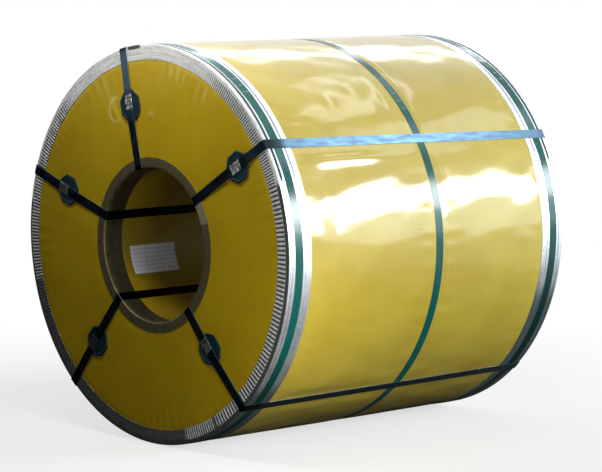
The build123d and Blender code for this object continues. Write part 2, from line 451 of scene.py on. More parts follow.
def fill_inputs(tree, node, inputs):
    """Fills a node's inputs with values or links."""
    for key, value in inputs.items():
        if isinstance(value, bpy.types.NodeSocket):
            tree.links.new(value, node.inputs[key])
        else:
            node.inputs[key].default_value = value


def add_node(tree, kind, inputs=None, **settings):
    """Adds a node with its settings, and fills its inputs."""
    made = tree.nodes.new(kind)
    for name, value in settings.items():
        setattr(made, name, value)
    fill_inputs(tree, made, inputs or {})
    return made


def finish(name, dress, *paints):
    """The material of that name. Its nodes are added the first time, by a function that dresses its shader."""
    made = bpy.data.materials.get(name)
    if made is None:
        made = bpy.data.materials.new(name)
        made.use_nodes = True
        tree = made.node_tree
        tree.nodes.clear()
        shader = add_node(tree, "ShaderNodeBsdfPrincipled")
        add_node(tree, "ShaderNodeOutputMaterial", {"Surface": shader.outputs["BSDF"]})
        dress(tree, shader, *paints)
    return made


def rgba(paint):
    """A paint for a node's input: another node's output, a hex code or a colour in linear light."""
    if isinstance(paint, bpy.types.NodeSocket):
        return paint
    return (*(linear(paint) if isinstance(paint, str) else paint), 1.0)


def blend(tree, pattern, low, high, most, first, second):
    """A paint that gives way to another, at most by a share, where a pattern rises from low to high."""
    share = add_node(tree, "ShaderNodeMapRange", {0: pattern, 1: low, 2: high, 3: 0.0, 4: most})
    paints = {0: share.outputs[0], 6: rgba(first), 7: rgba(second)}
    return add_node(tree, "ShaderNodeMix", paints, data_type="RGBA").outputs[2]


def stain(tree, layer, first, second, most=1.0):
    """A paint that gives way to another by values that the mesh stores."""
    stored = add_node(tree, "ShaderNodeAttribute", attribute_name=layer).outputs["Fac"]
    return blend(tree, stored, 0.0, 1.0, most, first, second)


def roughen(tree, shader, pattern, smooth, rough, height, strength):
    """Lets a pattern, at its usual 0.3 to 0.7, set a finish's roughness and its relief of some height in metres."""
    roughness = add_node(tree, "ShaderNodeMapRange", {0: pattern, 1: 0.3, 2: 0.7, 3: smooth, 4: rough})
    relief = add_node(tree, "ShaderNodeBump", {"Height": pattern, "Distance": height, "Strength": strength})
    fill_inputs(tree, shader, {"Roughness": roughness.outputs[0], "Normal": relief.outputs[0]})


def enamelled_sheet(tree, shader, yellow, ochre):
    """Roll-coated steel sheet: a smooth yellow enamel, deep and glossy, with dusty patches and a few scuffs, and
    painted highlights on the end discs.
    """
    place = add_node(tree, "ShaderNodeTexCoord").outputs["Object"]
    # Handling leaves cloudy patches about 180 mm across
    cloud = add_node(
        tree, "ShaderNodeTexNoise", {"Vector": place, "Scale": 1 / 0.18, "Detail": 4.0, "Roughness": 0.6}
    ).outputs["Fac"]
    paint = blend(tree, cloud, 0.40, 0.68, 1.0, yellow, ochre)
    # Scuffs are hair lines about 60 mm long and 2 mm wide, drawn slantwise
    slant = add_node(
        tree,
        "ShaderNodeMapping",
        {"Vector": place, "Rotation": (0.5, 0.35, 0.9), "Scale": (1 / 0.06, 1 / 0.002, 1 / 0.06)},
    )
    hair = add_node(tree, "ShaderNodeTexNoise", {"Vector": slant.outputs[0], "Scale": 1.0, "Detail": 1.0})
    paint = blend(tree, hair.outputs["Fac"], 0.76, 0.80, 0.45, paint, "#6b5d22")
    # Specks of dirt are less than 6 mm across and far apart
    speck = add_node(tree, "ShaderNodeTexNoise", {"Vector": place, "Scale": 1 / 0.006, "Detail": 2.0})
    paint = blend(tree, speck.outputs["Fac"], 0.73, 0.77, 0.5, paint, "#4d4526")
    # Rubbing leaves pale, chalky places
    # Painted highlight: the end discs are painted pale on some ripples' crests, in a ring beside the top pad and in a
    # glint, where the mesh says so
    paint = stain(tree, "painted_sheen", paint, "#efe48c")
    haze = add_node(tree, "ShaderNodeMapRange", {0: cloud, 1: 0.3, 2: 0.7, 3: 0.36, 4: 0.48})
    # Roll coating leaves a faint orange peel about 30 mm across
    peel = add_node(tree, "ShaderNodeTexNoise", {"Vector": place, "Scale": 1 / 0.03, "Detail": 2.0})
    relief = add_node(
        tree, "ShaderNodeBump", {"Height": peel.outputs["Fac"], "Distance": 0.0004, "Strength": 0.5}
    ).outputs[0]
    surface = {"Base Color": paint, "Roughness": haze.outputs[0], "Normal": relief, "Specular IOR Level": 0.2}
    coat = {"Coat Weight": 1.0, "Coat Roughness": 0.13, "Coat Normal": relief}
    fill_inputs(tree, shader, {**surface, **coat})


def galvanised_sheet(tree, shader):
    """Hot-dip galvanised sheet: bluish silver with a spangle and drawn streaks, and painted shade in the crimps."""
    tint = bpy.context.scene.coil_finishes
    place = add_node(tree, "ShaderNodeTexCoord").outputs
    # Zinc spangle is about 9 mm across
    spangle = add_node(tree, "ShaderNodeTexVoronoi", {"Vector": place["Object"], "Scale": 1 / 0.009})
    cell = add_node(tree, "ShaderNodeSeparateColor", {0: spangle.outputs["Color"]}).outputs[0]
    # Streaks run round the sheet: 150 mm long and 4 mm wide
    along = add_node(tree, "ShaderNodeMapping", {"Vector": place["UV"], "Scale": (1 / 0.15, 1 / 0.004, 1.0)})
    streak = add_node(
        tree, "ShaderNodeTexNoise", {"Vector": along.outputs[0], "Scale": 1.0, "Detail": 3.0}
    ).outputs["Fac"]
    shade = add_node(tree, "ShaderNodeMath", {0: cell, 1: 0.12, 2: streak}, operation="MULTIPLY_ADD")
    zinc = blend(tree, shade.outputs[0], 0.44, 0.72, 1.0, tint.zinc_bright, tint.zinc_shade)
    # Painted shade darkens the crimps' valleys and the stretches that the mesh gives. On the band it takes on the
    # hoop paint's green
    valley_shade = add_node(tree, "ShaderNodeAttribute", attribute_name="crimp_shade").outputs["Fac"]
    painted_shade = add_node(tree, "ShaderNodeAttribute", attribute_name="rim_shade").outputs["Fac"]
    thick = add_node(tree, "ShaderNodeMath", {0: valley_shade, 1: painted_shade}, operation="MAXIMUM").outputs[0]
    shade_share = add_node(tree, "ShaderNodeMapRange", {0: thick, 1: 0.34, 2: 0.74, 3: 0.0, 4: 0.94}).outputs[0]
    black = stain(tree, "band_shine", "#15171a", "#123430")
    paint = add_node(tree, "ShaderNodeMix", {0: shade_share, 6: zinc, 7: black}, data_type="RGBA").outputs[2]
    rough = add_node(tree, "ShaderNodeMapRange", {0: streak, 1: 0.3, 2: 0.7, 3: 0.24, 4: 0.42}).outputs[0]
    matt = add_node(tree, "ShaderNodeMath", {0: rough, 1: shade_share}, operation="MAXIMUM").outputs[0]
    relief = add_node(tree, "ShaderNodeBump", {"Height": streak, "Distance": 0.0003, "Strength": 0.6}).outputs[0]
    # The smooth band keeps its metal shine, and the flange is chalky
    shine = add_node(tree, "ShaderNodeAttribute", attribute_name="band_shine").outputs["Fac"]
    metal = add_node(tree, "ShaderNodeMapRange", {0: shine, 1: 0.0, 2: 1.0, 3: 0.05, 4: 0.72}).outputs[0]
    fill_inputs(tree, shader, {"Base Color": paint, "Roughness": matt, "Normal": relief, "Metallic": metal})


def weathered_zinc(tree, shader, zinc, bloomed):
    """Weathered galvanised sheet: grey zinc with a chalky bloom that dulls its shine, and paler where it is fresh."""
    place = add_node(tree, "ShaderNodeTexCoord").outputs["Object"]
    # The bloom stands in patches about 25 mm across
    bloom = add_node(
        tree, "ShaderNodeTexNoise", {"Vector": place, "Scale": 1 / 0.025, "Detail": 5.0}
    ).outputs["Fac"]
    paint = blend(tree, bloom, 0.35, 0.7, 1.0, zinc, bloomed)
    # Painted shade darkens the band inside the bore
    paint = stain(tree, "bore_shade", paint, "#1c1b17", 0.6)
    roughen(tree, shader, bloom, 0.38, 0.55, 0.0002, 0.4)
    fill_inputs(tree, shader, {"Base Color": paint, "Metallic": 0.8})


def stoved_paint(tree, shader, green, rubbed):
    """Cold-rolled strapping in a stoved green paint: smooth and glossy, with drawn scratches, paler where rubbed."""
    place = add_node(tree, "ShaderNodeTexCoord").outputs["UV"]
    # Scratches from the tensioner run along the strap: 80 mm long and 1.5 mm wide
    along = add_node(tree, "ShaderNodeMapping", {"Vector": place, "Scale": (1 / 0.08, 1 / 0.0015, 1.0)})
    scratch = add_node(
        tree, "ShaderNodeTexNoise", {"Vector": along.outputs[0], "Scale": 1.0, "Detail": 2.0}
    ).outputs["Fac"]
    paint = blend(tree, scratch, 0.62, 0.78, 0.6, green, rubbed)
    # Painted shade on the end hoops' lower stretches, where the mesh says so
    paint = stain(tree, "painted_shade", paint, "#0a1716")
    roughen(tree, shader, scratch, 0.12, 0.22, 0.0001, 0.5)
    fill_inputs(tree, shader, {"Base Color": paint, "Specular IOR Level": 0.36})


def blued_strap(tree, shader):
    """Heat-blued steel strapping, dark-lacquered: nearly black, with mottled blue where light strikes, and painted
    shade where the mesh says so.
    """
    tint = bpy.context.scene.coil_finishes
    place = add_node(tree, "ShaderNodeTexCoord").outputs["UV"]
    # The temper colours stand in slanting blotches about 70 mm long and 16 mm wide
    slant = add_node(
        tree, "ShaderNodeMapping", {"Vector": place, "Rotation": (0, 0, 0.35), "Scale": (1 / 0.07, 1 / 0.016, 1.0)}
    )
    mottle = add_node(
        tree, "ShaderNodeTexNoise", {"Vector": slant.outputs[0], "Scale": 1.0, "Detail": 3.0}
    ).outputs["Fac"]
    paint = blend(tree, mottle, 0.35, 0.65, 1.0, tint.strap_blue, tint.strap_black)
    # Painted shade darkens the strap over the near rim's bend and in the bore
    paint = stain(tree, "lacquer_and_shade", paint, "#2a3138")
    roughen(tree, shader, mottle, 0.15, 0.26, 0.0002, 0.5)
    fill_inputs(tree, shader, {"Base Color": paint, "Metallic": 1.0})


def moulded_pad(tree, shader):
    """Injection-moulded polyethylene: dark teal with a fine spark-eroded grain and a soft sheen."""
    place = add_node(tree, "ShaderNodeTexCoord").outputs["Object"]
    # The mould's grain is drawn 2.5 mm across, coarser than the real 0.3 mm, so that it shows
    grain = add_node(tree, "ShaderNodeTexNoise", {"Vector": place, "Scale": 1 / 0.0025, "Detail": 2.0})
    # The plastic's flow leaves shades about 50 mm across
    flow = add_node(tree, "ShaderNodeTexNoise", {"Vector": place, "Scale": 1 / 0.05, "Detail": 3.0})
    teal = bpy.context.scene.coil_finishes.pad_teal
    paint = blend(tree, flow.outputs["Fac"], 0.35, 0.65, 1.0, teal, "#083138")
    roughen(tree, shader, grain.outputs["Fac"], 0.34, 0.50, 0.0002, 0.5)
    fill_inputs(tree, shader, {"Base Color": paint, "Specular IOR Level": 0.3})


def pressed_seal(tree, shader):
    """Pressed zinc-plated steel: bright silver with press marks, scuffed where the jaws bit, and painted shade on
    some seals.
    """
    place = add_node(tree, "ShaderNodeTexCoord").outputs["Object"]
    # The jaws' marks are about 11 mm across
    mark = add_node(tree, "ShaderNodeTexNoise", {"Vector": place, "Scale": 1 / 0.011, "Detail": 3.0}).outputs["Fac"]
    paint = blend(tree, mark, 0.44, 0.60, 1.0, bpy.context.scene.coil_finishes.seal_zinc, "#7c8285")
    # Painted shade: each seal is darkened by the share that its mesh stores
    paint = stain(tree, "seal_shade", paint, "#34383a")
    roughen(tree, shader, mark, 0.22, 0.40, 0.0012, 0.9)
    fill_inputs(tree, shader, {"Base Color": paint, "Metallic": 0.75})


def ruled_paper(tree, shader):
    """Uncoated label paper: pale and matt, with faint fibres and the ruled lines of an empty form."""
    tint = bpy.context.scene.coil_finishes
    place = add_node(tree, "ShaderNodeTexCoord").outputs
    # The form's rows are 14 mm high and its columns 64 mm wide, with 1.6 mm lines
    cells = {"Color1": rgba(tint.label_paper), "Color2": rgba(tint.label_paper), "Mortar": rgba(tint.label_ink)}
    rules = {"Scale": 1.0, "Mortar Size": 0.0008, "Mortar Smooth": 0.2, "Brick Width": 0.064, "Row Height": 0.014}
    form = add_node(
        tree, "ShaderNodeTexBrick", {"Vector": place["UV"], **cells, **rules}, offset=0.0, squash=1.0
    )
    # Fibres are drawn 3 mm long, coarser than the real 1 mm, so that they show
    fibre = add_node(
        tree, "ShaderNodeTexNoise", {"Vector": place["Object"], "Scale": 1 / 0.003, "Detail": 3.0}
    ).outputs["Fac"]
    paint = blend(tree, fibre, 0.4, 0.75, 0.35, form.outputs["Color"], "#c4c7da")
    relief = add_node(tree, "ShaderNodeBump", {"Height": fibre, "Distance": 0.0001, "Strength": 0.4})
    fill_inputs(tree, shader, {"Base Color": paint, "Normal": relief.outputs[0], "Roughness": 0.75})


def cold_rolled_strip(tree, shader):
    """Cold-rolled strip: clean grey steel, with the turns of the winding as rings on its ends."""
    scene = bpy.context.scene
    place = add_node(tree, "ShaderNodeTexCoord").outputs["Object"]
    centred = add_node(
        tree, "ShaderNodeMapping", {"Vector": place, "Location": (0, 0, -scene.coil_sizes.axis_height)}
    )
    # The turns are drawn 38 mm apart, far coarser than the real strip's thickness, so that they show
    turns = add_node(
        tree,
        "ShaderNodeTexWave",
        {"Vector": centred.outputs[0], "Scale": 1 / 0.12, "Distortion": 0.4},
        wave_type="RINGS",
        rings_direction="X",
    ).outputs["Fac"]
    steel = blend(tree, turns, 0.0, 1.0, 1.0, scene.coil_finishes.strip_steel, "#6c7176")
    rough = add_node(tree, "ShaderNodeMapRange", {0: turns, 1: 0.0, 2: 1.0, 3: 0.30, 4: 0.45})
    fill_inputs(tree, shader, {"Base Color": steel, "Roughness": rough.outputs[0], "Metallic": 1.0})


# Pieces


def strap_line(place, x):
    """The angle in radians of an eye strap's run along the outside, at a place along the axis."""
    _, near, far = EYE_STRAPS[place]
    end = bpy.context.scene.coil_protectors.flange_face
    return np.radians(near + (far - near) * np.clip((x + end) / (2 * end), 0.0, 1.0))


def face_line(place, end):
    """An eye strap's straight course over an end: its direction in radians, and how far it passes beside the axis."""
    bore, near, far = np.radians(EYE_STRAPS[place])
    sizes = bpy.context.scene.coil_protectors
    inner = sizes.throat_radius * np.exp(1j * bore)
    outer = sizes.rim_radius * np.exp(1j * (near if end == NEAR else far))
    direction = np.angle(outer - inner)
    return direction, (inner * np.exp(-1j * direction)).imag


def seam_start():
    """Where along the axis the wrap's seam begins beside the middle hoop."""
    straps = bpy.context.scene.coil_straps
    return straps.middle_shift + straps.width / 2 + bpy.context.scene.coil_waves.seam_place


class COIL_OT_wound_strip(bpy.types.Operator):
    """Finishes the wound strip, whose CAD solid stays as it is"""

    bl_idname = "steel_coil.wound_strip"
    bl_label = "Wound strip"

    def execute(self, context):
        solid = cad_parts["wound_strip"].data
        solid.materials.clear()
        solid.materials.append(finish("Cold_rolled_steel_wound_strip", cold_rolled_strip))
        return {"FINISHED"}


class COIL_OT_packing_sheet(bpy.types.Operator):
    """Builds the outer wrap, the two end discs and the bore liner"""

    bl_idname = "steel_coil.packing_sheet"
    bl_label = "Packing sheet"

    # How far the sheets' hidden skins stay clear of the strip
    wrap_gap = disc_gap = 0.0001
    liner_gap = 0.00005

    def execute(self, context):
        coil = context.scene.coil_sizes
        protectors = context.scene.coil_protectors
        sheet_ends = np.array([[coil.sheet_end, -coil.sheet_end]])

        # The crease and the seam need more points than the rest of the wrap
        crease = np.radians(np.arange(149.65, 158.0, 0.3))[:, None]
        angle = np.sort(np.concatenate([full_circle(500), crease]), 0)
        seam = seam_start() + np.array([-0.001, 0.0, 0.001, 0.002, 0.003, 0.004])
        x = np.sort(np.concatenate([np.linspace(-coil.sheet_end, coil.sheet_end, 150), seam]))[None, :]
        outside = round_axis(x, coil.wrap_radius + self.wrap_rise(x, angle), angle)
        inside = round_axis(sheet_ends, coil.coil_radius + self.wrap_gap, angle)
        self.place_sheet("Outer_Wrap", outside, inside, "wrap", "outer_wrap")

        turn = full_circle(720)
        low, high = protectors.throat_radius + protectors.bend, protectors.rim_radius - protectors.bend
        radius = np.linspace(low, high, 90)[None, :]
        for name, end in ENDS.items():
            outside = round_axis(end * (coil.disc_face + self.disc_rise(radius, turn, end)), radius, turn)
            inside = round_axis(end * (coil.strip_face + self.disc_gap), np.array([[high, low]]), turn)
            mesh = self.place_sheet(f"{name.title()}_End_Disc", outside, inside, "disc", f"{name}_end_disc")
            # Painted highlight on the disc's ripples and beside the top pad, stored for its finish
            painted_sheen = self.disc_sheen(radius, turn, end)
            store_values(mesh, "painted_sheen", np.pad(painted_sheen, ((0, 0), (0, inside.shape[1]))))

        turn = full_circle(240)
        x = np.linspace(-coil.sheet_end, coil.sheet_end, 90)[None, :]
        inside = round_axis(x, coil.liner_radius + self.liner_rise(x, turn), turn)
        outside = round_axis(sheet_ends, coil.bore_radius - self.liner_gap, turn)
        self.place_sheet("Bore_Liner", inside, outside, "liner", "bore_liner")
        return {"FINISHED"}

    def place_sheet(self, name, seen, hidden, part, node):
        """A sheet from its seen and its hidden skin, in its own yellow."""
        tint = bpy.context.scene.coil_finishes
        paints = getattr(tint, part + "_yellow"), getattr(tint, part + "_ochre")
        enamel = finish(f"Yellow_enamel_roll_coated_{part}", enamelled_sheet, *paints)
        mesh = mesh_of(name, [Shell(np.concatenate([seen, hidden], 1))])
        place_piece(name, mesh, [enamel], "packing_sheet", node)
        return mesh

    def wrap_rise(self, x, angle):
        """How far the wrap stands out of round: puffed between hoops, wrinkled beside them, flat under straps."""
        scene = bpy.context.scene
        coil, waves, straps = scene.coil_sizes, scene.coil_waves, scene.coil_straps
        from_band = scene.coil_protectors.flange_face - scene.coil_protectors.rim_band - np.abs(x)
        from_hoop = np.abs(x - straps.middle_shift) - straps.width / 2
        free = np.clip(np.minimum(from_band, from_hoop), 0.0, None)
        # The sheet springs up over 30 mm from what holds it, and its wrinkles stand tallest 28 mm off
        spring, wrinkled = 0.030, 0.028
        rise = (1 - np.exp(-free / spring)) * (
            waves.pillow * (1 + 0.3 * waves_round(angle, waves.seed, (1, 5)))
            + waves.swell * soft_waves(angle, x, waves.seed + 1, (4, 15), 0.55)
            + waves.dimple * soft_waves(angle, x, waves.seed + 2, (18, 40), 0.22)
        )
        uneven = 0.6 + 0.4 * waves_round(angle, waves.seed + 4, (2, 9))
        wrinkles = soft_waves(angle, x, waves.seed + 3, (45, 80), 1.5) * uneven
        rise = rise + waves.pucker * wrinkles * (free / wrinkled) * np.exp(1 - free / wrinkled)
        for middle, turn, breadth, girth, height in WRAP_SWELLS:
            apart = turn_apart(angle, math.radians(turn)) * coil.wrap_radius
            rise = rise + height * np.exp(-(((x - middle) / breadth) ** 2) - (apart / girth) ** 2)
        lapped = (x > straps.middle_shift) * (1 - smooth_step(seam_start(), seam_start() + 0.003, x))
        rise = rise + waves.seam_step * lapped * smooth_step(0.0, 0.02, free)
        # The sheet can neither sink far into the coil nor stand far off it, and less where it is pressed down
        deepest, highest, pressed = -0.0004, 0.0090, 0.0010
        rise = np.clip(rise, deepest, highest)
        for place in EYE_STRAPS:
            apart = turn_apart(angle, strap_line(place, x)) * coil.wrap_radius
            held = 1 - smooth_step(0.6 * straps.width, 2.2 * straps.width, apart)
            rise = rise * (1 - held) + np.minimum(rise, pressed) * held
        under = 1 - smooth_step(math.radians(12), math.radians(22), turn_apart(angle, math.radians(270)))
        return rise * (1 - under) + np.minimum(rise, pressed) * under

    def liner_rise(self, x, turn):
        """How far the liner stands off its tight radius: waved, but flat under the bore protectors."""
        waves = bpy.context.scene.coil_waves
        protectors = bpy.context.scene.coil_protectors
        wave = waves.liner_wave * (1 + 0.6 * soft_waves(turn, x, waves.seed + 8, (2, 9), 0.5))
        free = smooth_step(0.0, 0.04, protectors.flange_face - protectors.bore_band - np.abs(x))
        return np.clip(wave, 0.0, 0.0007) * free

    def flutes(self, turn, end):
        """The ripples of an end disc, from -1 in a trough to 1 on a crest, some taller than others."""
        seed = bpy.context.scene.coil_waves.seed + 29 + 10 * end
        flute = np.cos(84 * turn + 1.6 * waves_round(turn, seed, (3, 9)))
        return flute * np.clip(0.55 + 0.45 * waves_round(turn, seed + 1, (4, 14)), 0, None)

    def disc_sheen(self, radius, turn, end):
        """How far an end disc is painted pale as painted highlight: on some ripples' crests, and beside the top pad.
        """
        from_edge = bpy.context.scene.coil_protectors.rim_flange_edge - radius
        seed = bpy.context.scene.coil_waves.seed + 35 + 10 * end
        degrees, fade = np.degrees(turn), 4
        painted_sheen = 0.0
        for low, high in DISC_SHEENS[end]:
            begun = smooth_step(low - fade, low + fade, degrees)
            painted_sheen = np.maximum(painted_sheen, begun * smooth_step(-high - fade, fade - high, -degrees))
        crest = np.clip(0.3 + 0.7 * self.flutes(turn, end), 0.0, 1.0)
        some = np.clip(0.35 + 0.65 * waves_round(turn, seed, (9, 26), 8), 0.0, 1.0)
        far = 0.055 + 0.03 * waves_round(turn, seed + 1, (12, 30), 8)
        reach = smooth_step(0.004, 0.025, from_edge) * (1 - smooth_step(far - 0.02, far + 0.03, from_edge))
        painted_sheen = 0.5 * painted_sheen * crest * some * reach
        if end == NEAR:
            y, z = radius * np.cos(turn), radius * np.sin(turn)
            across, above, ring_radius = SHEEN_RING
            ring = np.hypot(y - across, z - above) - ring_radius
            painted_sheen = painted_sheen + 0.6 * np.exp(-((ring / 0.0075) ** 2)) * smooth_step(-0.012, 0.014, y - across)
            across, above, breadth, height = GLINT_SPOT
            painted_sheen = painted_sheen + 0.35 * np.exp(-(((y - across) / breadth) ** 2) - ((z - above) / height) ** 2)
        return painted_sheen

    def disc_rise(self, radius, turn, end):
        """How far an end disc stands off the strip: fluted beside the crimped flange, flat under flanges and pads."""
        waves = bpy.context.scene.coil_waves
        edge = bpy.context.scene.coil_protectors.rim_flange_edge
        bore_edge = bpy.context.scene.coil_protectors.bore_flange_edge
        fall = np.exp(-(edge - radius) / 0.050)
        rise = waves.flute * 0.5 * (1 + self.flutes(turn, end)) * np.clip(fall, 0.0, 1.0)
        rise = rise + 0.0004 * (1 + soft_waves(turn, radius, waves.seed + 31 + 10 * end, (3, 12), 0.3))
        for middle, degrees, breadth, girth, height in DISC_SWELLS if end == NEAR else ():
            apart = turn_apart(turn, math.radians(degrees)) * radius
            rise = rise + height * np.exp(-(((radius - middle) / breadth) ** 2) - (apart / girth) ** 2)
        rise = np.clip(rise, 0.0, 0.0030)
        rise = rise * smooth_step(bore_edge + 0.006, bore_edge + 0.03, radius)
        rise = rise * smooth_step(-edge + 0.001, -edge + 0.014, -radius)
        for pad_angle, pad_radius, shift in PADS.values() if end == NEAR else ():
            middle = math.radians(pad_angle) + shift / pad_radius
            apart = np.hypot(radius - pad_radius, turn_apart(turn, middle) * radius)
            rise = rise * smooth_step(0.060, 0.080, apart)
        return rise


def corner(middle, radius, bend, start, end, count):
    """An arc of a bend with its normals, from one angle to another in the plane of (out, radius)."""
    turns = np.radians(np.linspace(start, end, count))
    return [(middle + bend * math.cos(t), radius + bend * math.sin(t), math.cos(t), math.sin(t)) for t in turns]


def crimp_tree():
    """Node group that presses crimps into a flange along its own phase, taller towards the inner edge."""
    tree = bpy.data.node_groups.get("Press_Crimps")
    if tree:
        return tree
    tree = bpy.data.node_groups.new("Press_Crimps", "GeometryNodeTree")
    ports = tree.interface
    ports.new_socket("Sheet", in_out="INPUT", socket_type="NodeSocketGeometry")
    for name in ("Crimp Height", "Crimp Spread", "Flange Root", "Flange Edge", "Axis Height", "Outwards"):
        ports.new_socket(name, in_out="INPUT", socket_type="NodeSocketFloat")
    ports.new_socket("Seed", in_out="INPUT", socket_type="NodeSocketInt")
    ports.new_socket("Finish", in_out="INPUT", socket_type="NodeSocketMaterial")
    ports.new_socket("Crimped Sheet", in_out="OUTPUT", socket_type="NodeSocketGeometry")
    given = add_node(tree, "NodeGroupInput").outputs
    place = add_node(tree, "GeometryNodeInputPosition").outputs[0]
    part = add_node(tree, "ShaderNodeSeparateXYZ", {0: place}).outputs
    height = add_node(tree, "ShaderNodeMath", {0: part[2], 1: given["Axis Height"]}, operation="SUBTRACT")
    level = add_node(tree, "ShaderNodeCombineXYZ", {1: part[1], 2: height.outputs[0]}).outputs[0]
    radius = add_node(tree, "ShaderNodeVectorMath", {0: level}, operation="LENGTH").outputs["Value"]
    # A crimp grows from nothing at the bend to its full height a quarter of the way over the flange
    root, edge = given["Flange Root"], given["Flange Edge"]
    full = add_node(tree, "ShaderNodeMix", {0: 0.26, 2: root, 3: edge}).outputs[0]
    growth = add_node(
        tree,
        "ShaderNodeMapRange",
        {0: radius, 1: root, 2: full, 3: 0.0, 4: 1.0},
        interpolation_type="SMOOTHSTEP",
    ).outputs[0]
    depth, phase = (
        add_node(tree, "GeometryNodeInputNamedAttribute", {"Name": name}, data_type="FLOAT").outputs[0]
        for name in ("crimp_depth", "crimp_phase")
    )
    growth = add_node(tree, "ShaderNodeMath", {0: growth, 1: depth}, operation="MULTIPLY").outputs[0]
    wave = add_node(tree, "ShaderNodeMath", {0: phase}, operation="COSINE").outputs[0]
    crest = add_node(tree, "ShaderNodeMath", {0: wave, 1: 0.5, 2: 0.5}, operation="MULTIPLY_ADD").outputs[0]
    # Each crimp was pressed a little more or less than the next
    number = add_node(tree, "ShaderNodeMath", {0: phase, 1: TURN}, operation="DIVIDE").outputs[0]
    number = add_node(tree, "ShaderNodeMath", {0: number}, operation="ROUND").outputs[0]
    least = add_node(tree, "ShaderNodeMath", {0: 1.0, 1: given["Crimp Spread"]}, operation="SUBTRACT").outputs[0]
    press = add_node(
        tree,
        "FunctionNodeRandomValue",
        {2: least, 3: 1.0, "ID": number, "Seed": given["Seed"]},
        data_type="FLOAT",
    ).outputs[1]
    rise = add_node(tree, "ShaderNodeMath", {0: growth, 1: crest}, operation="MULTIPLY").outputs[0]
    valley = add_node(tree, "ShaderNodeMath", {0: growth, 1: rise}, operation="SUBTRACT").outputs[0]
    shift = rise
    for factor in (given["Crimp Height"], press, given["Outwards"]):
        shift = add_node(tree, "ShaderNodeMath", {0: shift, 1: factor}, operation="MULTIPLY").outputs[0]
    offset = add_node(tree, "ShaderNodeCombineXYZ", {0: shift}).outputs[0]
    # A point's depth in a crimp's valley, stored for the finish to darken as painted shade
    valley_shaded = add_node(
        tree,
        "GeometryNodeStoreNamedAttribute",
        {"Geometry": given["Sheet"], "Name": "crimp_shade", "Value": valley},
        data_type="FLOAT",
        domain="POINT",
    )
    pressed = add_node(tree, "GeometryNodeSetPosition", {"Geometry": valley_shaded.outputs[0], "Offset": offset})
    whole = add_node(tree, "GeometryNodeRealizeInstances", {0: pressed.outputs[0]})
    dressed = add_node(
        tree, "GeometryNodeSetMaterial", {"Geometry": whole.outputs[0], "Material": given["Finish"]}
    )
    add_node(tree, "NodeGroupOutput", {0: dressed.outputs[0]})
    return tree


def run_tree(name, mesh, tree, values):
    """The plain mesh that a node group makes of a mesh, with its inputs set by name."""
    carrier = bpy.data.objects.new(name + "_Carrier", mesh)
    bpy.context.scene.collection.objects.link(carrier)
    modifier = carrier.modifiers.new(tree.name, "NODES")
    modifier.node_group = tree
    for item in tree.interface.items_tree:
        if item.in_out == "INPUT" and item.name in values:
            modifier[item.identifier] = values[item.name]
    bpy.context.view_layer.update()
    made = bpy.data.meshes.new_from_object(carrier.evaluated_get(bpy.context.evaluated_depsgraph_get()))
    made.name = name
    carrier.modifiers.remove(modifier)
    bpy.data.objects.remove(carrier)
    return made


